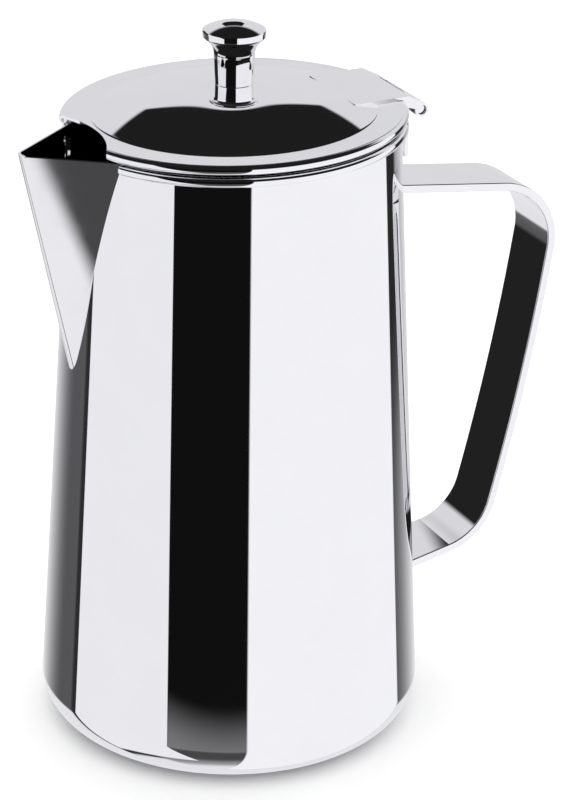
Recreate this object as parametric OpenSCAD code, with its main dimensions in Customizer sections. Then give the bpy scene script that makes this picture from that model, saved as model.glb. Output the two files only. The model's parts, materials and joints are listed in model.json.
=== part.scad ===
// Coffee pot: tapered sheet-metal pot with a folded spout, a flat strap handle
// and a hinged lid with a turned knob. Millimetres, +Z up. The origin is the
// centre of the standing plane, the spout points to -X, handle and hinge to +X.

/* [Pot] */
// Outer diameter of the wall, carried down to the standing plane
base_d = 125; // [110:1:140]
// Inward slope of the wall, in degrees
wall_slope = 3.2; // [1:0.1:5]
// Outer radius of the rounded bottom edge
corner_r = 12.6; // [6:0.2:16]
// Thickness of the body sheet
sheet = 0.8; // [0.6:0.1:1.2]
// Height of the centre of the rolled brim, on the pot's axis
brim_z = 199.3; // [150:0.1:220]
// Radius of the rolled brim
bead_r = 1.6; // [1.4:0.05:1.7]
// How far the brim and lid fall towards the spout, in degrees
brim_tilt = 1.8; // [0:0.1:2]

/* [Spout] */
// Distance from the pot's axis to the pouring tip
spout_reach = 71.2; // [66:0.1:76]
// Outer radius of the fold at the tip
fold_r = 4; // [3:0.1:5]
// Height where the fold runs out into the wall
spout_foot_z = 127; // [115:1:140]
// Half width of the spout where it meets the wall at the brim
spout_half = 21.4; // [19:0.1:23]
// Thickness of the spout sheet
spout_sheet = 0.9; // [0.7:0.1:1.2]

/* [Handle] */
// Width of the strap
strap_w = 22.2; // [18:0.1:24]
// Thickness of the strap
strap_t = 2.8; // [2.2:0.1:3.2]
// Height of the strap's centreline where it leaves the wall
strap_z = 175.2; // [168:0.1:178]
// Downward slope of the top run, in degrees
top_slope = 6.3; // [0:0.1:10]
// Length of the top run
top_run = 38.7; // [30:0.1:42]
// Centreline radius of the upper bend
top_bend_r = 20.5; // [18:0.1:24]
// Turn of the upper bend, in degrees
top_turn = 91.8; // [86:0.1:94]
// Centreline radius of the slightly bowed grip
grip_r = 818; // [600:1:1200]
// Turn of the bowed grip, in degrees
grip_turn = 6.3; // [4:0.1:8]
// Centreline radius of the lower bend
low_bend_r = 20.1; // [16:0.1:24]
// Turn of the lower bend, in degrees
low_turn = 62.8; // [56:0.1:66]
// Leg of the weld fillets at the strap's ends
fillet = 1.2; // [0.8:0.1:1.5]

/* [Lid] */
// Outer radius of the lid
lid_r = 53.9; // [53:0.1:54.5]
// Offset of the lid's centre towards the spout
lid_shift = 0.5; // [0:0.1:0.6]
// Height of the lid's rolled edge above the hinge axis, lid level
lid_lift = 2.53; // [2.4:0.01:2.8]
// Radius of the lid's rolled edge
curl_r = 1.5; // [1.3:0.05:1.5]
// Radius of the crease between flange and dome
crease_r = 44.2; // [40:0.1:46]
// Height of the crease above the centre of the rolled edge
crease_z = 1.43; // [1.2:0.01:2.2]
// Height of the dome's flat centre above the centre of the rolled edge
dome_z = 4.1; // [3:0.1:6]
// Radius of the curved notch over the spout
notch_r = 42; // [36:1:50]
// Distance from the pot's axis to the deepest point of the notch
notch_x = 46; // [45:0.1:48]

/* [Knob] */
// Largest radius of the knob's head
head_r = 9.85; // [8:0.05:11]
// Radius of the neck where it meets the head's flare
neck_r = 6.4; // [5.5:0.1:7]
// Radius of the neck at the joint with its collar
waist_r = 5.95; // [5.2:0.05:6.5]
// Height of the joint between knob and collar, above the dome's flat centre
collar_h = 5.9; // [4:0.1:8]
// Height of the whole knob above the dome's flat centre
knob_h = 25.4; // [21:0.1:28]
// How far the knob stands back from the lid's slope towards upright, in degrees
knob_lean = 1.5; // [0:0.1:1.8]
// Radius of the collar's foot
foot_r = 7.7; // [7:0.1:9]

/* [Hinge] */
// Distance from the pot's axis to the hinge pin
hinge_x = 56.2; // [56.1:0.05:57]
// Height of the hinge pin
hinge_z = 202.5; // [202:0.1:203]
// Radius of the hinge knuckles
knuckle_r = 2.4; // [2.2:0.05:2.4]
// Length over all the knuckles
hinge_len = 32.6; // [28:0.1:34]
// Length of the middle knuckle
mid_len = 16; // [12:0.1:18]
// Radius of the hinge pin
pin_r = 1.5; // [1.2:0.05:1.6]

/* [Hidden] */
$fn = 96;
steel = "#d9dade";
bright = "#e6e7ea";
eps = 0.01;
far = 200;

// Wall
slope_t = tan(wall_slope);
wall_top_z = brim_z + 4;
// The rounded edge stands this far past the wall, so the two meet in a clean edge
corner_bulge = 0.02;
corner_x = base_d / 2 - corner_r * slope_t - corner_r / cos(wall_slope) + corner_bulge;
tangent_z = corner_r * (1 + sin(wall_slope));

// Rolled brim: it stands a little into the pot past the wall's inner face
bead_bite = 0.25;
bead_x = wall_r(brim_z) - sheet - bead_bite + bead_r;

// Spout; the wedge is drawn past the brim's height and then cut off
spout_top_z = brim_z + bead_r;
spout_over = 3;
spout_wall_x = 44;
spout_side_wall = 1.3 * spout_sheet;
tip_z = spout_top_z - spout_reach * tan(brim_tilt);
fold_foot_r = 8;

// Pouring opening in the wall behind the spout
mouth_top_half = spout_half - 1.6;
mouth_low_r = 4.6;
mouth_low_z = spout_foot_z + 16;

// Gap in the brim where the spout's sides pass through it
brim_gap_half = spout_half + 0.4;
brim_gap_z = brim_z - bead_r - 1.6;
brim_gap_x = spout_wall_x - 2;

// Strap: where its top run is counted from, and the length kept past each end
strap_start = 52;
strap_lead = strap_start - wall_r(strap_z) + 3;
strap_tail = 22;
bend_steps = 24;
grip_steps = 8;

// Hinge
run_clear = 0.05;
side_clear = 0.25;
leaf_half = hinge_len / 2;
pin_inset = 0.8;
weld_gap = 0.02;
plate_x = 53.6;
plate_t = 1.3;
plate_low_z = 185.6;
plate_half = 10.6;
plate_shoulder_z = hinge_z - 5.4;
pad_half = plate_half - 2;
pad_low_z = plate_low_z + 1;
pad_h = 9;

// Leaf on the lid: a raised cover with side skirts
leaf_t = 0.9;
leaf_top = 2.6;
leaf_front = 33;
leaf_skirt_z = -1;
leaf_slope_x = hinge_x - 4.6;
leaf_nose_x = hinge_x + 0.9;
leaf_nose_z = knuckle_r - lid_lift - 0.18;
leaf_back_x = hinge_x - knuckle_r;
leaf_back_z = 0.6 - lid_lift;
leaf_heel_x = hinge_x - 5.2;
knuckle_gap_x = hinge_x - knuckle_r - 0.6;

// Lid sheet
flange_r = 800;
dome_r = 252;
lid_cut_x = hinge_x - 8.4;
lid_cut_half = leaf_half + 0.4;

// Knob
knob_foot_h = 0.7;
knob_cone_h = 0.9;
collar_flare = 0.15;
flare_r = 6.3;
flare_turn = 58;
flare_z = knob_h - 10.55;
side_low_x = head_r - 0.1;
side_low_z = knob_h - 4.5;
edge_r = 0.75;
edge_x = head_r - edge_r;
crown_r = 20;
crown_z = knob_h - crown_r;
edge_z = crown_z + sqrt(pow(crown_r - edge_r, 2) - pow(edge_x, 2));
edge_turn = acos(edge_x / (crown_r - edge_r));
edge_steps = 8;
collar_sink = 0.6;

// Knob fixing
screw_r = 2;
screw_hole_r = 2.2;
screw_head_r = 3.8;
screw_head_h = 2.4;
screw_slot_w = 1;
screw_slot_h = 1;
washer_r = 5;
washer_t = 0.8;
thread_len = 14;
blind_h = thread_len + 1;

function wall_r(z) = base_d / 2 - z * slope_t;
// Centre of a circle of radius r through two points, on the left of a to b
function arc_centre(a, b, r) =
    let (m = (a + b) / 2, d = b - a, l = norm(d))
    m + [-d[1], d[0]] / l * sqrt(r * r - l * l / 4);

// ---- shared shapes -------------------------------------------------------

// Half outline of the pot, pulled in by inset and cut off at height top
module pot_outline(inset, top) {
    side_in = inset / cos(wall_slope);
    translate([corner_x, corner_r])
        circle(corner_r - inset);
    translate([0, inset])
        square([corner_x, tangent_z - inset]);
    polygon([
        [0, corner_r],
        [corner_x, corner_r],
        [wall_r(tangent_z) - side_in, tangent_z],
        [wall_r(top) - side_in, top],
        [0, top]
    ]);
}

// Solid that fills the pot out to its wall's outer face, plus grow
module pot_solid(grow = 0) {
    cylinder(h = wall_top_z, r1 = wall_r(0) + grow, r2 = wall_r(wall_top_z) + grow);
}

// Everything above the brim's inclined plane, raised by lift
module above_brim(lift = 0) {
    translate([0, 0, brim_z + lift])
        rotate([0, -brim_tilt, 0])
            translate([-far / 2, -far / 2, 0])
                cube([far, far, far / 4]);
}

// Closed wedge of the spout, pulled in by inset
module spout_wedge(inset) {
    top_z = spout_top_z + spout_over;
    lean = (spout_reach - wall_r(spout_foot_z)) / (tip_z - spout_foot_z);
    side_in = inset * spout_side_wall / spout_sheet;
    hull() {
        translate([-(spout_reach + (top_z - tip_z) * lean) + fold_r, 0, top_z])
            cylinder(h = eps, r = fold_r - inset, $fn = 48);
        for (side = [-1, 1])
            translate([-spout_wall_x, side * (spout_half + spout_over - side_in), top_z])
                cylinder(h = eps, r = 0.1, $fn = 12);
        translate([fold_foot_r - wall_r(spout_foot_z), 0, spout_foot_z])
            cylinder(h = eps, r = fold_foot_r - inset, $fn = 48);
    }
}

// Puts a part that is drawn on a level lid onto the inclined brim
module on_lid() {
    translate([hinge_x, 0, hinge_z])
        rotate([0, -brim_tilt, 0])
            translate([-hinge_x, 0, lid_lift])
                children();
}

// ---- pot -----------------------------------------------------------------

module pot_body() {
    color(steel)
        difference() {
            union() {
                difference() {
                    rotate_extrude()
                        difference() {
                            pot_outline(0, wall_top_z);
                            pot_outline(sheet, wall_top_z + 1);
                        }
                    above_brim();
                }
                translate([0, 0, brim_z])
                    rotate([0, -brim_tilt, 0])
                        rotate_extrude()
                            translate([bead_x, 0])
                                circle(bead_r, $fn = 32);
            }
            pouring_mouth();
        }
}

// Tapered opening through the wall behind the spout, with the brim cut away
module pouring_mouth() {
    rotate([90, 0, -90])
        linear_extrude(far / 2)
            union() {
                polygon([
                    [-mouth_low_r, mouth_low_z],
                    [mouth_low_r, mouth_low_z],
                    [mouth_top_half, wall_top_z],
                    [-mouth_top_half, wall_top_z]
                ]);
                translate([0, mouth_low_z])
                    circle(mouth_low_r);
            }
    translate([-far / 2, -brim_gap_half, brim_gap_z])
        cube([far / 2 - brim_gap_x, 2 * brim_gap_half, 10]);
}

module spout() {
    color(bright)
        difference() {
            spout_wedge(0);
            spout_wedge(spout_sheet);
            pot_solid();
            above_brim(bead_r);
        }
}

// ---- handle --------------------------------------------------------------

// Stations [x, height, heading] along a bend of the strap's centreline that
// leaves point p at a heading (degrees below level) and turns downward
function bend(p, heading, r, turn, steps) = [
    for (i = [0 : steps])
        let (a = heading + turn * i / steps)
            [p[0] + r * (sin(a) - sin(heading)), p[1] + r * (cos(a) - cos(heading)), a]
];

// Station at the end of a bend, and a straight step on from a station
function last(stations) = stations[len(stations) - 1];
function onward(p, length) = [p[0] + length * cos(p[2]), p[1] - length * sin(p[2]), p[2]];

top_bend = bend([top_run, 0], 0, top_bend_r, top_turn, bend_steps);
grip = bend(last(top_bend), top_turn, grip_r, grip_turn, grip_steps);
low_bend = bend(last(grip), top_turn + grip_turn, low_bend_r, low_turn, bend_steps);

// Stands the strap's side outline up in the pot's middle plane, at the wall
module strap_frame() {
    translate([strap_start, 0, strap_z])
        rotate([90, 0, 0])
            rotate([0, 0, -top_slope])
                children();
}

module handle_strap() {
    grip_inner = [for (i = [1 : grip_steps - 1]) grip[i]];
    line = concat(
        [[-strap_lead, 0, 0]], top_bend, grip_inner, low_bend,
        [onward(last(low_bend), strap_tail)]
    );
    outer = [for (p = line) [p[0] + sin(p[2]) * strap_t / 2, p[1] + cos(p[2]) * strap_t / 2]];
    inner = [for (p = line) [p[0] - sin(p[2]) * strap_t / 2, p[1] - cos(p[2]) * strap_t / 2]];
    back = [for (i = [len(inner) - 1 : -1 : 0]) inner[i]];
    color(bright)
        difference() {
            strap_frame()
                translate([0, 0, -strap_w / 2])
                    linear_extrude(strap_w)
                        polygon(concat(outer, back));
            pot_solid();
        }
}

// Short block of the strap's own section, used where it meets the wall
module strap_block(length, grow = 0) {
    translate([0, -strap_t / 2 - grow, -strap_w / 2 - grow])
        cube([length, strap_t + 2 * grow, strap_w + 2 * grow]);
}

// Weld fillet round a length of strap that crosses the wall's outer face
module strap_weld() {
    color(steel)
        difference() {
            intersection() {
                children();
                pot_solid(fillet);
            }
            pot_solid();
        }
}

// Sleeve round the strap, from its frame's origin over a length
module strap_sleeve(length) {
    difference() {
        strap_block(length, fillet);
        translate([-1, 0, 0])
            strap_block(length + 2);
    }
}

module handle_fillet_top() {
    strap_weld()
        strap_frame()
            translate([-strap_lead, 0, 0])
                strap_sleeve(16);
}

module handle_fillet_low() {
    end = last(low_bend);
    strap_weld()
        strap_frame()
            translate([end[0], end[1], 0])
                rotate([0, 0, -end[2]])
                    strap_sleeve(strap_tail + 2);
}

// ---- hinge ---------------------------------------------------------------

module hinge_bracket() {
    color(steel)
        difference() {
            union() {
                translate([plate_x, -plate_half, plate_low_z])
                    cube([plate_t, 2 * plate_half, plate_shoulder_z - plate_low_z]);
                translate([plate_x, -mid_len / 2, plate_low_z])
                    cube([plate_t, mid_len, hinge_z - plate_low_z]);
                translate([wall_r(plate_low_z) - 4, -pad_half, pad_low_z])
                    cube([plate_x - wall_r(plate_low_z) + 4 + eps, 2 * pad_half, pad_h]);
                translate([hinge_x, -mid_len / 2, hinge_z])
                    rotate([-90, 0, 0])
                        cylinder(h = mid_len, r = knuckle_r);
            }
            translate([hinge_x, -mid_len, hinge_z])
                rotate([-90, 0, 0])
                    cylinder(h = 2 * mid_len, r = pin_r);
            pot_solid(weld_gap);
        }
}

module hinge_pin() {
    color(bright)
        translate([hinge_x, pin_inset - leaf_half, hinge_z])
            rotate([-90, 0, 0])
                cylinder(h = hinge_len - 2 * pin_inset, r = pin_r);
}

// ---- lid -----------------------------------------------------------------

// Half section of the lid: rolled edge, nearly flat flange, dome and flat centre
module lid_section() {
    curl_x = lid_r - curl_r;
    rim = [curl_x, curl_r];
    crease = [crease_r, crease_z];
    top = [foot_r, dome_z];
    difference() {
        translate([curl_x, 0])
            circle(curl_r, $fn = 32);
        translate([curl_x, 0])
            circle(curl_r - sheet, $fn = 32);
        translate([curl_x - 2 * curl_r, -2 * curl_r])
            square([2 * curl_r, 2 * curl_r]);
    }
    arc_band(rim, crease, flange_r, 1);
    arc_band(crease, top, dome_r, -1);
    translate([0, dome_z - sheet])
        square([foot_r + eps, sheet]);
}

// Curved strip of sheet whose top follows an arc of radius r from a (outer)
// to b (inner); bow is 1 when the arc is hollow and -1 when it is raised
module arc_band(a, b, r, bow) {
    c = bow > 0 ? arc_centre(b, a, r) : arc_centre(a, b, r);
    intersection() {
        translate(c)
            difference() {
                circle(bow > 0 ? r + sheet : r, $fn = 180);
                circle(bow > 0 ? r : r - sheet, $fn = 180);
            }
        translate([b[0], -3])
            square([a[0] - b[0] + eps, 10]);
    }
}

module lid_shell() {
    color(bright)
        on_lid()
            difference() {
                translate([-lid_shift, 0, 0])
                    rotate_extrude()
                        lid_section();
                translate([-notch_x - notch_r, 0, -10])
                    cylinder(h = 20, r = notch_r);
                translate([lid_cut_x, -lid_cut_half, -10])
                    cube([20, 2 * lid_cut_half, 20]);
                translate([-lid_shift, 0, 0])
                    cylinder(h = 20, r = screw_hole_r);
            }
}

// Leaf welded to the lid: a raised plate with side skirts and two knuckles
module lid_hinge_leaf() {
    color(bright)
        on_lid()
            difference() {
                union() {
                    leaf_block(0, leaf_half);
                    translate([hinge_x, -leaf_half, -lid_lift])
                        rotate([-90, 0, 0])
                            cylinder(h = hinge_len, r = knuckle_r);
                }
                leaf_block(leaf_t, leaf_half - leaf_t);
                translate([-lid_shift, 0, 0])
                    lid_underfill();
                translate([hinge_x, -far / 2, -lid_lift])
                    rotate([-90, 0, 0])
                        cylinder(h = far, r = pin_r + run_clear);
                translate([knuckle_gap_x, -mid_len / 2 - side_clear, -10])
                    cube([10, mid_len + 2 * side_clear, 20]);
            }
}

// Side profile of the leaf, extruded across it, pulled in by inset
module leaf_block(inset, half) {
    translate([0, half, 0])
        rotate([90, 0, 0])
            linear_extrude(2 * half)
                polygon([
                    [leaf_front + inset, leaf_skirt_z - 2 * inset],
                    [leaf_front + inset, leaf_top - inset],
                    [leaf_slope_x - inset * 0.4, leaf_top - inset],
                    [leaf_nose_x - inset, leaf_nose_z - inset],
                    [leaf_back_x + inset * 0.4, leaf_back_z - inset],
                    [leaf_heel_x, leaf_skirt_z - 2 * inset]
                ]);
}

// Space under the top face of the lid, which the leaf is trimmed against
module lid_underfill() {
    rotate_extrude()
        difference() {
            translate([0, -10])
                square([lid_r - curl_r, 10 + curl_r]);
            flange_cut();
        }
    rotate_extrude()
        dome_fill();
}

module flange_cut() {
    c = arc_centre([crease_r, crease_z], [lid_r - curl_r, curl_r], flange_r);
    intersection() {
        translate(c)
            circle(flange_r, $fn = 180);
        translate([crease_r, -3])
            square([20, 10]);
    }
    translate([0, crease_z])
        square([crease_r, 5]);
}

module dome_fill() {
    c = arc_centre([crease_r, crease_z], [foot_r, dome_z], dome_r);
    intersection() {
        translate(c)
            circle(dome_r, $fn = 360);
        translate([0, -1])
            square([crease_r, 1 + dome_z]);
    }
}

// ---- knob ----------------------------------------------------------------

module on_dome() {
    on_lid()
        translate([-lid_shift, 0, dome_z])
            children();
}

// The knob stands more upright than the lid; its fixing stays square to the lid
module on_knob() {
    rotate([0, knob_lean, 0])
        children();
}

module knob_collar() {
    color(bright)
        on_dome()
            difference() {
                on_knob()
                    union() {
                        cylinder(h = collar_h, r1 = waist_r + collar_flare, r2 = waist_r);
                        translate([0, 0, -collar_sink])
                            cylinder(h = knob_foot_h + collar_sink, r = foot_r);
                        translate([0, 0, knob_foot_h])
                            cylinder(h = knob_cone_h, r1 = foot_r - 0.3, r2 = waist_r + 0.1);
                    }
                translate([-far / 2, -far / 2, -far / 2])
                    cube([far, far, far / 2]);
                translate([0, 0, -1])
                    cylinder(h = collar_h + 2, r = screw_hole_r);
            }
}

// Half section of the knob: tapered neck, hollow flare, rounded edge and crown
module grip_section() {
    flare_top = [neck_r + flare_r * (1 - cos(flare_turn)), flare_z + flare_r * sin(flare_turn)];
    edge = [
        for (i = [0 : edge_steps])
            let (a = edge_turn * i / edge_steps)
                [edge_x + edge_r * cos(a), edge_z + edge_r * sin(a)]
    ];
    crown = [
        for (i = [1 : edge_steps])
            let (a = edge_turn + (90 - edge_turn) * i / edge_steps)
                [crown_r * cos(a), crown_z + crown_r * sin(a)]
    ];
    polygon([[0, collar_h], [waist_r, collar_h], [neck_r, flare_z], [0, flare_z]]);
    difference() {
        polygon([
            [0, flare_z - eps],
            [neck_r, flare_z],
            [neck_r + flare_r, flare_z],
            flare_top,
            [0, flare_top[1]]
        ]);
        translate([neck_r + flare_r, flare_z])
            circle(flare_r, $fn = 120);
    }
    polygon(concat([[0, flare_top[1] - eps], flare_top, [side_low_x, side_low_z]], edge, crown));
}

module knob_grip() {
    color(bright)
        on_dome()
            difference() {
                on_knob()
                    rotate_extrude()
                        grip_section();
                translate([0, 0, collar_h - 1])
                    cylinder(h = blind_h - collar_h + 1, r = screw_r);
            }
}

module knob_washer() {
    color(steel)
        on_dome()
            translate([0, 0, -sheet - washer_t])
                difference() {
                    cylinder(h = washer_t, r = washer_r);
                    translate([0, 0, -1])
                        cylinder(h = washer_t + 2, r = screw_hole_r);
                }
}

module knob_screw() {
    head_z = -sheet - washer_t - screw_head_h;
    color(steel)
        on_dome()
            difference() {
                union() {
                    translate([0, 0, head_z])
                        cylinder(h = screw_head_h, r = screw_head_r);
                    translate([0, 0, head_z])
                        cylinder(h = thread_len - head_z, r = screw_r);
                }
                translate([-screw_slot_w / 2, -screw_head_r - 1, head_z - 1])
                    cube([screw_slot_w, 2 * screw_head_r + 2, screw_slot_h + 1]);
            }
}

pot_body();
spout();
handle_strap();
handle_fillet_top();
handle_fillet_low();
hinge_bracket();
hinge_pin();
lid_shell();
lid_hinge_leaf();
knob_collar();
knob_grip();
knob_screw();
knob_washer();
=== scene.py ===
import json
import math

import bmesh
import bpy
import numpy as np
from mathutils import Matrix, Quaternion, Vector


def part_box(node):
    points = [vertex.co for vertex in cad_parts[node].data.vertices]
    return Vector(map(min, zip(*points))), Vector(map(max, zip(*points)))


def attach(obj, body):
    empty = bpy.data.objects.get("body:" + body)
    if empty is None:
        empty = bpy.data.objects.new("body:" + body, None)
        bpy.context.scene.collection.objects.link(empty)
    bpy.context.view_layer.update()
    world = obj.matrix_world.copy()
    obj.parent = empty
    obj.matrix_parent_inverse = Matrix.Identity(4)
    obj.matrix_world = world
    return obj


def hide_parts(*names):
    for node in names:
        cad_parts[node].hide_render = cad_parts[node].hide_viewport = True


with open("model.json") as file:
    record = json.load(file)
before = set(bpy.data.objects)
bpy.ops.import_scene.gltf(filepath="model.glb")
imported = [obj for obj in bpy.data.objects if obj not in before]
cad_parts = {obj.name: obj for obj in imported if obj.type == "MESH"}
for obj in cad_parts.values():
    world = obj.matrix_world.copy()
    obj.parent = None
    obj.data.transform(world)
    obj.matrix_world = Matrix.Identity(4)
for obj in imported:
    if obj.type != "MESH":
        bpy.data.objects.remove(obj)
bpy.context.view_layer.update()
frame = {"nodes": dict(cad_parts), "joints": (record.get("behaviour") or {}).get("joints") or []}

MM = 0.001
TAU = 2 * math.pi

# ---- driving dimensions in millimetres, as in the CAD part ----------------

# Places that the frame gives
hinge_x, _, hinge_z = (v / MM for v in frame["joints"][0]["pos_m"])
spout_low, _ = (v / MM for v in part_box("spout"))
strap_low, strap_high = (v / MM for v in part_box("handle_strap"))
leaf_low, leaf_high = (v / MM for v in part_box("lid_hinge_leaf"))

# Wall and brim
WALL_SLOPE = math.radians(3.2)
WALL_FOOT_R = 62.5
CORNER_R = 12.6
SHEET = 0.8
BRIM_Z = 199.3
BEAD_R = 1.6
BEAD_BITE = 0.25
TILT = math.radians(1.8)
WELD_DEPTH = 0.35

# Spout
SPOUT_FOOT_Z = 127.0
SPOUT_HALF = 21.4
SPOUT_SHEET = 0.9
FOLD_R = 4.0
FOLD_FOOT_R = 8.0
SPOUT_WALL_X = 44.0
SPOUT_OVER = 3.0

# Pouring opening behind the spout
MOUTH_LOW_R = 4.6
MOUTH_LOW_Z = SPOUT_FOOT_Z + 16
MOUTH_TOP_HALF = SPOUT_HALF - 1.6
BRIM_GAP_HALF = SPOUT_HALF + 0.4
BRIM_GAP_Z = BRIM_Z - BEAD_R - 1.6

# Strap handle; each bend is its radius, its turn in degrees and its steps
STRAP_T = 2.8
STRAP_W = strap_high.y - strap_low.y
STRAP_START = Vector((52.0, 175.2))
STRAP_SLOPE = 6.3
STRAP_TOP_RUN = 38.7
STRAP_BENDS = ((20.5, 91.8, 60), (818.0, 6.3, 16), (20.1, 62.8, 44))
STRAP_TAIL = 22.0
STRAP_EDGE = 0.4

# Lid
LID_R = 53.9
LID_SHIFT = 0.5
LID_LIFT = 2.53
CURL_R = 1.5
CREASE = (44.2, 1.43)
FLANGE_R = 800.0
DOME_R = 252.0
DOME_Z = 4.1
NOTCH_R = 42.0
NOTCH_X = 46.0
SCREW_HOLE_R = 2.2
SLOT_DEPTH = 8.4
SLOT_CLEAR = 0.4
CUT_LOW = -10.0
CUT_HIGH = 12.0

# Knob, heights above the dome's flat centre
COLLAR_H = 5.9
JOINT_EDGE = 0.12
KNOB_H = 25.4
KNOB_LEAN = math.radians(1.5)
HEAD_R = 9.85
NECK_R = 6.4
WAIST_R = 5.95
FOOT_R = 7.7
FLARE_R = 6.3
FLARE_TURN = 58.0
FLARE_Z = KNOB_H - 10.55
SIDE_R = 0.5
SIDE_Z = KNOB_H - 4.58
EDGE_R = 0.75
CROWN_R = 20.0


def wall_r(z):
    """Outer radius of the wall at a height."""
    return WALL_FOOT_R - z * math.tan(WALL_SLOPE)


# ---- mesh helpers --------------------------------------------------------

def arc(centre, radius, start, end, steps):
    """Points of a circle's arc in a plane, angles in degrees."""
    angles = np.radians(np.linspace(start, end, steps + 1))
    return [(centre[0] + radius * math.cos(a), centre[1] + radius * math.sin(a)) for a in angles]


def arc_between(a, b, radius, bow, steps):
    """Points from a to b on an arc that bows up (bow 1) or hangs down (bow -1)."""
    a, b = Vector(a), Vector(b)
    half = (b - a).length / 2
    across = Vector((-(b - a).y, (b - a).x)).normalized()
    if across.y < 0:
        across = -across
    centre = (a + b) / 2 - across * bow * math.sqrt(radius ** 2 - half ** 2)
    first = math.atan2(a.y - centre.y, a.x - centre.x)
    last = math.atan2(b.y - centre.y, b.x - centre.x)
    turn = (last - first + math.pi) % TAU - math.pi
    return arc(centre, radius, math.degrees(first), math.degrees(first + turn), steps)


def with_supports(points, gap, longest):
    """Adds points close to both ends of each long straight stretch, so shading turns only there."""
    out = [points[0]]
    for a, b in zip(points[:-1], points[1:]):
        a, b = Vector(a), Vector(b)
        length = (b - a).length
        if length > longest:
            for share in (gap / length, 0.5, 1 - gap / length):
                out.append(tuple(a.lerp(b, share)))
        out.append(tuple(b))
    return out


def in_scene(name, data):
    """An object with this data, linked into the scene."""
    made = bpy.data.objects.new(name, data)
    bpy.context.scene.collection.objects.link(made)
    return made


def solid(name, verts, faces):
    """An object from points in millimetres, with its seam closed and its faces turned outwards."""
    mesh = bpy.data.meshes.new(name)
    mesh.from_pydata([tuple(v) for v in np.asarray(verts, float) * MM], [], faces)
    made = bmesh.new()
    made.from_mesh(mesh)
    bmesh.ops.remove_doubles(made, verts=made.verts, dist=1e-7)
    bmesh.ops.recalc_face_normals(made, faces=made.faces)
    made.to_mesh(mesh)
    made.free()
    return in_scene(name, mesh)


def crisp(piece, degrees=30):
    """Keeps edges that turn by more than this crisp."""
    piece.data.set_sharp_from_angle(angle=math.radians(degrees))


def dress(piece, body, slot, node, sharp=30):
    """Shades a piece smoothly, gives it its material and puts it on its body in place of a node."""
    mesh = piece.data
    mesh.polygons.foreach_set("use_smooth", [True] * len(mesh.polygons))
    crisp(piece, sharp)
    mesh.materials.clear()
    mesh.materials.append(MATERIALS[slot])
    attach(piece, body)
    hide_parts(node)
    return piece


def new_piece(name, verts, faces, body, slot, node, sharp=30):
    """A visible piece from points in millimetres."""
    return dress(solid(name, verts, faces), body, slot, node, sharp)


def grid(rows, columns, closed):
    """Quads of a grid of points stored row by row."""
    faces = []
    for i in range(rows - 1):
        for j in range(columns if closed else columns - 1):
            k = (j + 1) % columns
            row, after = i * columns, (i + 1) * columns
            faces.append((row + j, row + k, after + k, after + j))
    return faces


def capped(rows, columns):
    """Quads of a closed tube of rows, with both ends shut."""
    last = (rows - 1) * columns
    ends = [tuple(range(columns)), tuple(reversed(range(last, last + columns)))]
    return grid(rows, columns, True) + ends


def revolved(profile, steps):
    """Points and quads of a profile [(radius, height)] turned about the Z axis."""
    turns = np.linspace(0, TAU, steps, endpoint=False)
    verts = [(r * c, r * s, z) for r, z in profile for c, s in zip(np.cos(turns), np.sin(turns))]
    return np.array(verts), grid(len(profile), steps, True)


def on_lid(points, lift=0.0, shift=0.0):
    """Puts points that are drawn on a level lid onto the inclined brim."""
    p = np.array(points, float)
    x, z = p[:, 0] - shift - hinge_x, p[:, 2] + lift + LID_LIFT
    c, s = math.cos(TILT), math.sin(TILT)
    return np.c_[hinge_x + x * c - z * s, p[:, 1], hinge_z + x * s + z * c]


def baked(piece, *modifiers):
    """Applies modifiers (type, settings) to a piece."""
    for kind, settings in modifiers:
        modifier = piece.modifiers.new(kind.lower(), kind)
        for key, value in settings.items():
            setattr(modifier, key, value)
    depsgraph = bpy.context.evaluated_depsgraph_get()
    mesh = bpy.data.meshes.new_from_object(piece.evaluated_get(depsgraph))
    piece.modifiers.clear()
    piece.data = mesh
    return piece


# ---- materials -----------------------------------------------------------

def add_node(tree, kind, settings=None, **inputs):
    """A shader node with its settings and its unlinked inputs."""
    node = tree.nodes.new(kind)
    for key, value in (settings or {}).items():
        setattr(node, key, value)
    for key, value in inputs.items():
        node.inputs[key.replace("_", " ")].default_value = value
    return node


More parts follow.
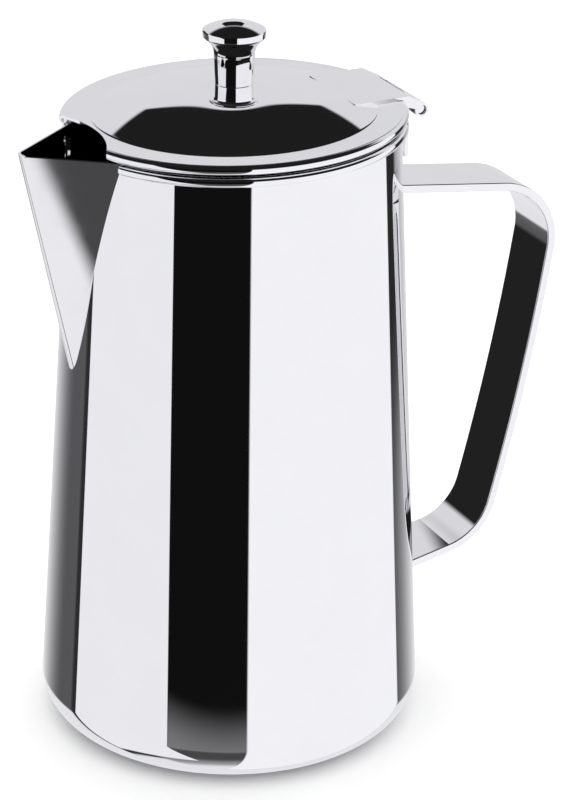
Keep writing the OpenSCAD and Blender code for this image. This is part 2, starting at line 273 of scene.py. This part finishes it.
def steel(name, colour, rough, rough_spread, smudge_scale, bump=0.0, bump_scale=60.0, grain=None):
    """Metal whose roughness drifts with faint wipe marks, and whose face is slightly uneven."""
    material = bpy.data.materials.new(name)
    material.use_nodes = True
    tree = material.node_tree
    link = tree.links.new
    shader = tree.nodes["Principled BSDF"]
    shader.inputs["Metallic"].default_value = 1.0
    place = add_node(tree, "ShaderNodeTexCoord")
    stretch = add_node(tree, "ShaderNodeMapping", Scale=grain or (1, 1, 1))
    link(place.outputs["Object"], stretch.inputs["Vector"])
    wipes = add_node(tree, "ShaderNodeTexNoise", Scale=smudge_scale, Detail=6.0, Roughness=0.6)
    link(stretch.outputs["Vector"], wipes.inputs["Vector"])
    spread = add_node(tree, "ShaderNodeMapRange")
    spread.inputs["From Min"].default_value = 0.35
    spread.inputs["From Max"].default_value = 0.75
    spread.inputs["To Min"].default_value = rough
    spread.inputs["To Max"].default_value = rough + rough_spread
    link(wipes.outputs["Fac"], spread.inputs["Value"])
    link(spread.outputs["Result"], shader.inputs["Roughness"])
    tint = add_node(tree, "ShaderNodeMix", {"data_type": "RGBA"})
    tint.inputs["A"].default_value = (*colour, 1)
    tint.inputs["B"].default_value = (*(c * 0.94 for c in colour), 1)
    link(wipes.outputs["Fac"], tint.inputs["Factor"])
    link(tint.outputs["Result"], shader.inputs["Base Color"])
    if bump:
        uneven = add_node(tree, "ShaderNodeTexNoise", Scale=bump_scale, Detail=3.0)
        link(stretch.outputs["Vector"], uneven.inputs["Vector"])
        relief = add_node(tree, "ShaderNodeBump", Strength=bump, Distance=0.001)
        link(uneven.outputs["Fac"], relief.inputs["Height"])
        link(relief.outputs["Normal"], shader.inputs["Normal"])
    return material


POLISHED = (0.93, 0.93, 0.95)
WELDED = (0.80, 0.80, 0.82)
PLAIN = (0.78, 0.78, 0.80)
MATERIALS = {
    "polished_steel": steel("polished_steel", POLISHED, 0.012, 0.02, 55.0),
    "turned_steel": steel("turned_steel", POLISHED, 0.012, 0.02, 120.0, grain=(1, 1, 6)),
    "weld_steel": steel("weld_steel", WELDED, 0.16, 0.12, 300.0, bump=0.25, bump_scale=900.0),
    "plain_steel": steel("plain_steel", PLAIN, 0.18, 0.10, 200.0, bump=0.10, bump_scale=700.0),
}


# ---- pot body ------------------------------------------------------------

BODY_STEPS = 720
# Shares of the wall's height that carry a row of points, closest near both ends
WALL_SHARES = (0.0007, 0.003, 0.02, 0.1, 0.3, 0.5, 0.7, 0.9, 0.98, 0.997, 1.0)


def mouth_z(y):
    """Height of the pouring opening's edge in the wall at a distance y from the middle plane."""
    y = abs(y)
    if y < MOUTH_LOW_R:
        return MOUTH_LOW_Z - math.sqrt(MOUTH_LOW_R ** 2 - y ** 2)
    rise = (BRIM_Z + 4 - MOUTH_LOW_Z) / (MOUTH_TOP_HALF - MOUTH_LOW_R)
    return MOUTH_LOW_Z + (y - MOUTH_LOW_R) * rise


def wall_top(turn):
    """Height where the wall ends in the direction `turn` round the pot."""
    z = BRIM_Z
    for _ in range(12):
        r = wall_r(z)
        x, y = r * math.cos(turn), r * math.sin(turn)
        goal = BRIM_Z + x * math.tan(TILT)
        if x < 0 and abs(y) < BRIM_GAP_HALF:
            goal = min(mouth_z(y), BRIM_GAP_Z)
        z = (z + goal) / 2
    return z


def pot_body():
    """The shell: up the outside and down the inside, its top following the brim and the mouth."""
    slope = math.degrees(WALL_SLOPE)
    corner_x = WALL_FOOT_R - CORNER_R * math.tan(WALL_SLOPE) - CORNER_R / math.cos(WALL_SLOPE)
    side = SHEET / math.cos(WALL_SLOPE)
    turns = np.linspace(0, TAU, BODY_STEPS, endpoint=False)
    tops = np.array([wall_top(t) for t in turns])

    def lower(inset):
        r = CORNER_R - inset
        flat = [(0, inset), (20, inset), (corner_x - 3, inset), (corner_x - 0.1, inset)]
        return flat + arc((corner_x, CORNER_R), r, -90, slope, 40)

    def wall_rows(start_z, inset):
        rows = []
        for share in WALL_SHARES:
            z = start_z + (tops - start_z) * share
            r = wall_r(z) - inset
            rows.append(np.c_[r * np.cos(turns), r * np.sin(turns), z])
        return rows

    def level_rows(points):
        cos, sin = np.cos(turns), np.sin(turns)
        return [np.c_[r * cos, r * sin, np.full(BODY_STEPS, z)] for r, z in points]

    outer, inner = lower(0), lower(SHEET)
    rows = level_rows(outer) + wall_rows(outer[-1][1], 0)
    rows += wall_rows(inner[-1][1], side)[::-1] + level_rows(inner[::-1])
    faces = grid(len(rows), BODY_STEPS, True)
    return np.vstack(rows), faces


def brim():
    """Rolled brim: a torus on an inclined plane, open over the spout, with softened ends."""
    ring_r = wall_r(BRIM_Z) - SHEET - BEAD_BITE + BEAD_R
    end = math.asin(BRIM_GAP_HALF / ring_r)
    turns = np.linspace(-math.pi + end, math.pi - end, 640)
    section = np.linspace(0, TAU, 48, endpoint=False)
    easing = ((0.0, 0.35), (0.1, 0.17), (0.25, 0.06), (0.45, 0.0))
    stations = [(turns[0] + d / ring_r, BEAD_R - less) for d, less in easing]
    stations += [(t, BEAD_R) for t in turns if abs(t) < turns[-1] - 0.5 / ring_r]
    stations += [(turns[-1] - d / ring_r, BEAD_R - less) for d, less in reversed(easing)]
    rows = []
    for turn, r in stations:
        reach = ring_r + r * np.cos(section)
        x, z = reach * math.cos(turn), r * np.sin(section)
        rows.append(np.c_[
            x * math.cos(TILT) - z * math.sin(TILT),
            reach * math.sin(turn),
            BRIM_Z + x * math.sin(TILT) + z * math.cos(TILT),
        ])
    return np.vstack(rows), capped(len(rows), len(section))


def make_pot():
    """Shell and brim, one welded piece."""
    verts, faces = pot_body()
    rim_verts, rim_faces = brim()
    faces = faces + [tuple(i + len(verts) for i in f) for f in rim_faces]
    new_piece("pot_shell", np.vstack([verts, rim_verts]), faces, "pot", "polished_steel", "pot_body")


# ---- spout ---------------------------------------------------------------

def make_spout():
    """A sheet that runs from the wall round the fold and back, cut off by the inclined brim plane."""
    top_plane = BRIM_Z + BEAD_R
    reach = -spout_low.x
    tip_z = top_plane - reach * math.tan(TILT)
    over_z = top_plane + SPOUT_OVER
    lean = (reach - wall_r(SPOUT_FOOT_Z)) / (tip_z - SPOUT_FOOT_Z)
    nose_top = FOLD_R - reach - (over_z - tip_z) * lean
    nose_foot = FOLD_FOOT_R - wall_r(SPOUT_FOOT_Z)
    corner = Vector((-SPOUT_WALL_X - nose_top, SPOUT_HALF + SPOUT_OVER))
    side_turn = math.atan2(corner.y, corner.x) + math.acos(FOLD_R / corner.length)
    along = Vector((math.sin(side_turn), -math.cos(side_turn)))

    def fold(z):
        share = (z - SPOUT_FOOT_Z) / (over_z - SPOUT_FOOT_Z)
        centre = nose_foot + (nose_top - nose_foot) * share
        return centre, FOLD_FOOT_R + (FOLD_R - FOLD_FOOT_R) * share

    def point(z, column):
        """Column -1..0 runs round half the fold from the tip; 0..1 runs back to the wall."""
        centre, r = fold(z)
        wall = wall_r(z) - WELD_DEPTH

        def on_arc(share):
            turn = math.pi + (side_turn - math.pi) * share
            return Vector((centre + r * math.cos(turn), r * math.sin(turn)))

        edge = on_arc(1.0)
        if edge.length < wall:
            low, high = 0.0, 1.0
            for _ in range(30):
                middle = (low + high) / 2
                low, high = (middle, high) if on_arc(middle).length > wall else (low, middle)
            return on_arc(min(1 + min(column, 0.0), low))
        if column <= 0:
            return on_arc(1 + column)
        b = edge.dot(along)
        inside = b * b - edge.length_squared + wall ** 2
        length = -b - math.sqrt(inside) if inside > 0 else -b
        return edge + along * max(length, 0) * column

    columns = (*np.linspace(-1, 0, 25), 0.004, *np.linspace(0.05, 1, 24))
    half_rows = []
    for share in (0.0, 0.02, 0.05, *np.linspace(0.1, 1, 60)):
        row = []
        for column in columns:
            z = top_plane
            for _ in range(6):
                z_top = top_plane + point(z, column).x * math.tan(TILT)
                z = SPOUT_FOOT_Z + (z_top - SPOUT_FOOT_Z) * share
            p = point(z, column)
            row.append((p.x, p.y, z))
        half_rows.append(row)
    rows = [[(x, -y, z) for x, y, z in reversed(row[1:])] + row for row in half_rows]
    verts = np.array([v for row in rows for v in row])
    faces = grid(len(rows), len(rows[0]), False)
    piece = new_piece("spout_sheet", verts, faces, "pot", "polished_steel", "spout")
    face_away(piece, Vector((-40, 0, 180)) * MM)
    baked(piece, ("SOLIDIFY", {"thickness": SPOUT_SHEET * MM, "offset": -1, "use_even_offset": True}))
    crisp(piece)


def face_away(piece, inside):
    """Turns an open sheet's normals away from a point inside it."""
    facing = sum((p.center - inside).dot(p.normal) * p.area for p in piece.data.polygons)
    if facing < 0:
        piece.data.flip_normals()


# ---- strap handle --------------------------------------------------------

def strap_stations():
    """Centreline points (x, z) with their downward heading in radians."""
    heading = math.radians(STRAP_SLOPE)
    at = STRAP_START

    def ahead(distance):
        return at + Vector((math.cos(heading), -math.sin(heading))) * distance

    stations = [(ahead(d), heading) for d in (0, 0.5, STRAP_TOP_RUN / 2, STRAP_TOP_RUN - 0.15)]
    at = ahead(STRAP_TOP_RUN)
    for r, turn, steps in STRAP_BENDS:
        start, first = at, heading
        for i in range(steps + 1):
            heading = first + math.radians(turn) * i / steps
            across = math.sin(heading) - math.sin(first)
            down = math.cos(heading) - math.cos(first)
            at = start + Vector((across, down)) * r
            stations.append((at, heading))
    return stations + [(ahead(d), heading) for d in (0.15, 5.0, 12.0, STRAP_TAIL)]


def strap_section():
    """Outline of the strap's section (across, out), with rounded corners."""
    x, y = STRAP_W / 2 - STRAP_EDGE, STRAP_T / 2 - STRAP_EDGE
    points = []
    for centre, start in (((x, y), 0), ((-x, y), 90), ((-x, -y), 180), ((x, -y), 270)):
        points += arc(centre, STRAP_EDGE, start, start + 90, 6)
    closed = with_supports(points + points[:1], gap=0.08, longest=0.8)
    return closed[:-1]


def make_strap():
    """The section carried along the strap, with both ends let into the wall."""
    section = strap_section()
    stations = strap_stations()
    rows = []
    for i, (at, heading) in enumerate(stations):
        along = Vector((math.cos(heading), 0, -math.sin(heading)))
        out = Vector((math.sin(heading), 0, math.cos(heading)))
        row = []
        for across, off in section:
            p = Vector((at.x, across, at.y)) + out * off
            if i in (0, len(stations) - 1):
                p = onto_wall(p, along if i == 0 else -along, WELD_DEPTH)
            row.append(p)
        rows.append(row)
    verts = np.array([tuple(p) for row in rows for p in row])
    faces = capped(len(rows), len(section))
    new_piece("strap", verts, faces, "pot", "polished_steel", "handle_strap")


def onto_wall(p, away, depth):
    """Slides p along a direction that leads away from the pot until it is `depth` inside the wall."""
    for _ in range(20):
        gap = math.hypot(p.x, p.y) - (wall_r(p.z) - depth)
        p = p - away * gap
    return p


# ---- lid -----------------------------------------------------------------

def lid_profile():
    """Closed section of the lid, from the centre over the top, round the curl and back beneath."""
    curl_x = LID_R - CURL_R
    blend = math.radians(1.0)
    rim = (curl_x - CURL_R * math.sin(blend), CURL_R * math.cos(blend))
    under_crease = (CREASE[0], CREASE[1] - SHEET)
    top = [(0, DOME_Z), (FOOT_R - 0.4, DOME_Z)]
    top += arc_between((FOOT_R, DOME_Z), CREASE, DOME_R, 1, 60)
    flange = arc_between(CREASE, rim, FLANGE_R, -1, 24)
    curl = arc((curl_x, 0), CURL_R, 90 + math.degrees(blend), -90, 40)
    inner_curl = arc((curl_x, 0), CURL_R - SHEET, -90, 90, 16)
    under_rim = (curl_x - 0.5, CURL_R - SHEET - 0.1)
    under_flange = arc_between(under_rim, under_crease, FLANGE_R + SHEET, -1, 16)
    under_dome = arc_between(under_crease, (FOOT_R, DOME_Z - SHEET), DOME_R - SHEET, 1, 30)
    outside = top + flange[1:] + curl[1:]
    return outside + inner_curl + under_flange + under_dome[1:] + [(0, DOME_Z - SHEET)]


def cut(piece, *tools):
    """Takes each tool's solid out of a piece and removes the tool."""
    how = {"operation": "DIFFERENCE", "solver": "MANIFOLD"}
    baked(piece, *(("BOOLEAN", {**how, "object": tool}) for tool in tools))
    for tool in tools:
        bpy.data.objects.remove(tool)


def disc_cutter(name, x, r, steps):
    """A round tool that goes right through the lid."""
    verts, faces = revolved([(0, CUT_LOW), (r, CUT_LOW), (r, CUT_HIGH), (0, CUT_HIGH)], steps)
    return solid(name, on_lid(verts + np.array([x, 0, 0])), faces)


def slot_cutter(name, x_range, y_range):
    """A square tool that goes right through the lid."""
    corners = [(x, y, z) for z in (CUT_LOW, CUT_HIGH) for y in y_range for x in x_range]
    faces = [(0, 1, 3, 2), (4, 5, 7, 6), (0, 1, 5, 4), (2, 3, 7, 6), (0, 2, 6, 4), (1, 3, 7, 5)]
    return solid(name, on_lid(corners), faces)


def make_lid():
    """The turned sheet, cut out over the spout, for the screw and for the hinge leaf."""
    verts, faces = revolved(lid_profile(), 900)
    verts = on_lid(verts, shift=LID_SHIFT)
    piece = new_piece("lid_sheet", verts, faces, "lid", "polished_steel", "lid_shell")
    slot_x = (hinge_x - SLOT_DEPTH, hinge_x + CUT_HIGH)
    slot_y = (leaf_low.y - SLOT_CLEAR, leaf_high.y + SLOT_CLEAR)
    cut(
        piece,
        disc_cutter("notch", -NOTCH_X - NOTCH_R, NOTCH_R, 720),
        disc_cutter("screw_hole", -LID_SHIFT, SCREW_HOLE_R, 64),
        slot_cutter("slot", slot_x, slot_y),
    )
    crisp(piece)


# ---- knob ----------------------------------------------------------------

def upright(points):
    """Stands the knob back from the lid's slope, and keeps its foot flush with the dome."""
    p = np.array(points, float)
    c, s = math.cos(KNOB_LEAN), math.sin(KNOB_LEAN)
    x, z = p[:, 0] * c + p[:, 2] * s, p[:, 2] * c - p[:, 0] * s
    return np.c_[x, p[:, 1], np.maximum(z, 0)]


def collar_profile():
    """Half section of the collar: foot with a rounded rim, fillet, and a waist up to the joint."""
    foot = [(0, 0), (FOOT_R - 0.1, 0), (FOOT_R, 0.25)] + arc((FOOT_R - 0.3, 0.4), 0.3, 0, 90, 8)
    fillet = arc((WAIST_R + 1.12, 1.7), 1.0, 270, 180, 12)
    joint = [(WAIST_R, COLLAR_H - JOINT_EDGE), (WAIST_R - JOINT_EDGE, COLLAR_H), (0, COLLAR_H)]
    return foot + fillet + joint


def grip_profile():
    """Half section of the knob: neck, hollow flare, rounded edge and domed crown."""
    crown_z = KNOB_H - CROWN_R
    edge_x, edge_reach = HEAD_R - EDGE_R, CROWN_R - EDGE_R
    edge_z = crown_z + math.sqrt(edge_reach ** 2 - edge_x ** 2)
    meet = math.degrees(math.acos(edge_x / edge_reach))
    neck = [(0, COLLAR_H), (WAIST_R - JOINT_EDGE, COLLAR_H), (WAIST_R, COLLAR_H + JOINT_EDGE)]
    flare = arc((NECK_R + FLARE_R, FLARE_Z), FLARE_R, 180, 180 - FLARE_TURN, 30)
    side = arc((HEAD_R - 0.08 - SIDE_R, SIDE_Z), SIDE_R, -38, -3, 8)
    edge = arc((edge_x, edge_z), EDGE_R, -2, meet, 16)
    crown = arc((0, crown_z), CROWN_R, meet, 90, 24)
    return neck + flare + side + edge + crown[1:]


def make_knob():
    """Collar and knob. Reflections leave them out, so the lid's dark field stays clean."""
    parts = (
        ("knob_ring", collar_profile(), "knob_collar"),
        ("knob_turned", grip_profile(), "knob_grip"),
    )
    for name, profile, node in parts:
        verts, faces = revolved(with_supports(profile, gap=0.06, longest=0.7), 256)
        verts = on_lid(upright(verts), lift=DOME_Z, shift=LID_SHIFT)
        piece = new_piece(name, verts, faces, "lid", "turned_steel", node, sharp=35)
        piece.visible_glossy = False


# ---- small parts: softened copies of the CAD solids ----------------------

def softened(node, name, body, slot, width):
    """Copy of a CAD solid with its edges rounded and its flat faces kept flat to the eye."""
    mesh = frame["nodes"][node].data.copy()
    made = bmesh.new()
    made.from_mesh(mesh)
    bmesh.ops.remove_doubles(made, verts=made.verts, dist=2e-6)
    flat = math.radians(0.6)
    bmesh.ops.dissolve_limit(made, angle_limit=flat, verts=made.verts, edges=made.edges)
    made.to_mesh(mesh)
    made.free()
    piece = dress(in_scene(name, mesh), body, slot, node)
    rounding = {
        "width": width * MM, "segments": 3, "limit_method": "ANGLE", "angle_limit": math.radians(38),
        "harden_normals": False, "use_clamp_overlap": True,
    }
    return baked(piece, ("BEVEL", rounding), ("WEIGHTED_NORMAL", {"keep_sharp": False, "weight": 90}))


def make_small_parts():
    """Hinge, screw, washer and welds. Reflections leave out the screw, as they do the knob."""
    softened("hinge_bracket", "bracket", "pot", "polished_steel", 0.25)
    softened("hinge_pin", "pin", "pot", "polished_steel", 0.2)
    softened("lid_hinge_leaf", "leaf", "lid", "polished_steel", 0.3)
    screw = softened("knob_screw", "screw", "lid", "plain_steel", 0.2)
    screw.visible_glossy = False
    softened("knob_washer", "washer", "lid", "plain_steel", 0.12)
    softened("handle_fillet_top", "weld_top", "pot", "weld_steel", 0.3)
    softened("handle_fillet_low", "weld_low", "pot", "weld_steel", 0.3)


# ---- studio --------------------------------------------------------------

def make_camera():
    """Looks down at the pot from the spout's side, through a long lens about a metre away."""
    azimuth, elevation = math.radians(-24.502), math.radians(23.025)
    distance = 0.96062
    target = Vector((0, 0, 0.110))
    back = Vector((
        math.sin(azimuth) * math.cos(elevation),
        -math.cos(azimuth) * math.cos(elevation),
        math.sin(elevation),
    ))
    data = bpy.data.cameras.new("camera")
    data.sensor_width = 36
    data.lens = 135
    data.clip_start = 0.01
    data.clip_end = 100
    camera = in_scene("camera", data)
    camera.location = target + back * distance
    camera.rotation_mode = "QUATERNION"
    aim = (-back).to_track_quat("-Z", "Y")
    # A small pan, tilt and roll about the camera's own axes
    for axis, degrees in (((0, 1, 0), -1.0437), ((1, 0, 0), -0.1408), ((0, 0, 1), 0.6888)):
        aim = aim @ Quaternion(axis, math.radians(degrees))
    camera.rotation_quaternion = aim
    bpy.context.scene.camera = camera


def make_floor():
    """Plain pale floor, which the polished faces leave out: they reflect the studio's fields."""
    mesh = bpy.data.meshes.new("floor")
    size = 30.0
    corners = [(-size, -size, 0), (size, -size, 0), (size, size, 0), (-size, size, 0)]
    mesh.from_pydata(corners, [], [(0, 1, 2, 3)])
    floor = in_scene("floor", mesh)
    material = bpy.data.materials.new("floor")
    material.use_nodes = True
    shader = material.node_tree.nodes["Principled BSDF"]
    shader.inputs["Base Color"].default_value = (0.9, 0.9, 0.9, 1)
    mesh.materials.append(material)
    floor.visible_glossy = False


def tone(grey):
    """Linear light for a display grey of 0..255."""
    return ((grey / 255 + 0.055) / 1.055) ** 2.4


# The studio as the pot sees it: grey, left and right edge in azimuth, low and
# high edge in elevation, softness of the upright and of the level edges, and
# how far the right edge leans, all in degrees. Azimuth 0 is behind the camera
# and grows to the camera's right; later fields lie over earlier ones.
BACKDROP = 224
STUDIO = (
    # Pale ground all round, and soft grey fields to the left and the right, up to the horizon
    (236, -200, 200, -100, -28, 3, 1.5, 0),
    (88, -146, -90, -28, 8, 24, 1.5, 0),
    (88, 90, 146, -28, 8, 24, 1.5, 0),
    # Dark screens in the middle of the grey fields
    (34, -148, -98, -15, 26, 3, 3, 0),
    (42, 110, 141, -21, 12, 3, 2.5, 0),
    # Dark ceiling, lower on the camera's side than behind the pot
    (30, -112, 118, 19, 100, 5, 1.5, 0),
    (30, 113, 200, 40, 100, 5, 4, 0),
    (30, -200, -107, 40, 100, 5, 4, 0),
    # Dark wall to the left of the camera
    (46, -110, -36, -63, 22, 1.8, 2.5, 0),
    # Black screen behind the camera, with its shade on the ground in two steps
    (150, -58, 20, -72, -40, 5, 9, 0),
    (72, -58, 20, -55, -20, 5, 9, 0),
    (16, -50, 20, -23.2, 24, 1, 0.6, 0),
    # White panels to the left and the right of the black screen
    (243, -105, -45.05, -57, 19.5, 0.25, 1.2, 0.4),
    (252, 12.3, 126.5, -100, 20, 0.7, 1.5, 0),
)
# Dark fan behind the pot, which the lid's dome reflects: it opens from `start`
# by `spread` of each degree upwards, to `widest` on each side of `middle`
FAN = {
    "grey": 30, "middle": 2.35, "low": 19.8, "high": 38.5,
    "start": 6.53, "spread": 0.573, "widest": 8.8,
}
# Where the camera faces, from +Y towards +X; azimuth 0 is the opposite way
HEADING = math.radians(25.64)


def make_world():
    """Lays the studio's fields over the backdrop, by azimuth and elevation."""
    world = bpy.data.worlds.new("studio")
    bpy.context.scene.world = world
    world.use_nodes = True
    tree = world.node_tree
    link = tree.links.new

    def combine(operation, *values):
        node = add_node(tree, "ShaderNodeMath", {"operation": operation})
        for socket, value in zip(node.inputs, values):
            if isinstance(value, bpy.types.NodeSocket):
                link(value, socket)
            else:
                socket.default_value = value
        return node.outputs["Value"]

    def along(axis):
        node = add_node(tree, "ShaderNodeVectorMath", {"operation": "DOT_PRODUCT"})
        node.inputs[1].default_value = axis
        link(place.outputs["Generated"], node.inputs[0])
        return node.outputs["Value"]

    def past(angle, edge, softness):
        node = add_node(tree, "ShaderNodeMapRange", {"interpolation_type": "SMOOTHSTEP"})
        node.inputs["From Min"].default_value = edge - softness
        node.inputs["From Max"].default_value = edge + softness
        link(angle, node.inputs["Value"])
        return node.outputs["Result"]

    def laid_over(light, cover, grey):
        mix = add_node(tree, "ShaderNodeMix", {"data_type": "FLOAT"})
        link(cover, mix.inputs["Factor"])
        link(light, mix.inputs["A"])
        mix.inputs["B"].default_value = tone(grey)
        return mix.outputs["Result"]

    place = add_node(tree, "ShaderNodeTexCoord")
    ahead = (math.sin(HEADING), math.cos(HEADING), 0)
    right = (math.cos(HEADING), -math.sin(HEADING), 0)
    turn = combine("ARCTAN2", along(right), combine("MULTIPLY", along(ahead), -1.0))
    azimuth = combine("MULTIPLY", turn, math.degrees(1))
    elevation = combine("MULTIPLY", combine("ARCSINE", along((0, 0, 1))), math.degrees(1))

    off_middle = combine("SUBTRACT", azimuth, FAN["middle"])
    from_behind = combine("SUBTRACT", 180.0, combine("ABSOLUTE", off_middle))
    opening = combine("SUBTRACT", combine("MULTIPLY", elevation, FAN["spread"]), FAN["start"])
    half = combine("MINIMUM", opening, FAN["widest"])
    across = combine("SUBTRACT", 1.0, past(combine("SUBTRACT", from_behind, half), 0.0, 0.25))
    upward = combine("SUBTRACT", past(elevation, FAN["low"], 0.3), past(elevation, FAN["high"], 1.0))
    light = combine("ADD", tone(BACKDROP), 0.0)
    light = laid_over(light, combine("MULTIPLY", upward, across), FAN["grey"])
    for grey, left, right, low, high, soft_side, soft_end, lean in STUDIO:
        leaning = combine("ADD", azimuth, combine("MULTIPLY", elevation, lean)) if lean else azimuth
        across = combine("SUBTRACT", past(azimuth, left, soft_side), past(leaning, right, soft_side))
        upward = combine("SUBTRACT", past(elevation, low, soft_end), past(elevation, high, soft_end))
        light = laid_over(light, combine("MULTIPLY", combine("MAXIMUM", across, 0.0), upward), grey)
    colour = add_node(tree, "ShaderNodeCombineColor")
    link(light, colour.inputs["Red"])
    link(light, colour.inputs["Green"])
    link(combine("MULTIPLY", light, 1.02), colour.inputs["Blue"])
    link(colour.outputs["Color"], tree.nodes["Background"].inputs["Color"])


def make_light():
    """One broad soft lamp over the pot for the floor; polished faces don't show it."""
    data = bpy.data.lights.new("overhead", "AREA")
    data.shape = "DISK"
    data.size = 9.0
    data.energy = 420.0
    lamp = in_scene("overhead", data)
    lamp.location = (0, 0, 3.0)
    lamp.visible_glossy = False


def make_view():
    """Shows the light as it is, so that the fields keep their greys."""
    view = bpy.context.scene.view_settings
    view.view_transform = "Standard"
    view.look = "None"


make_camera()
make_view()
make_floor()
make_world()
make_light()
make_pot()
make_spout()
make_strap()
make_lid()
make_knob()
make_small_parts()
